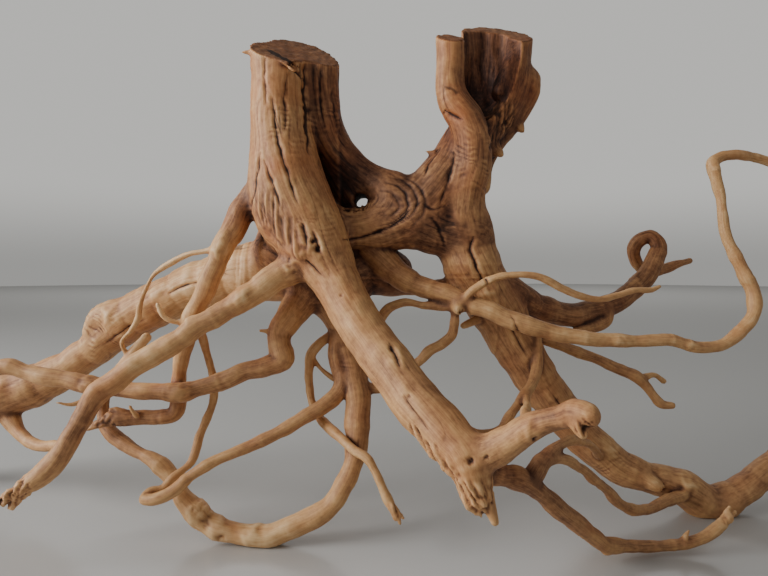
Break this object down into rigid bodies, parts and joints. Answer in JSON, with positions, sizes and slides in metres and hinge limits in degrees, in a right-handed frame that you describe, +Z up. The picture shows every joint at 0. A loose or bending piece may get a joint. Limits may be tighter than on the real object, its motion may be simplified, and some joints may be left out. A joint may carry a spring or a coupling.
{
  "type": "dry root",
  "caption": "Dry tree root with two sawn stumps on one saddle of wood, a hoop and thick legs that stand on the ground, and thin roots that reach out free.",
  "frame": {"origin": "middle of the bounding box at the floor the root stands on", "axes": "+X to the right along the root's spread, +Y away from the front leg, +Z up"},
  "size_m": [1.0038, 0.3504, 0.5167],
  "materials": {
    "dry_wood": "bare dry root wood, weathered smooth, with rough torn ends"
  },
  "bodies": {
    "root": {"root": "dry_wood"}
  },
  "joints": []
}
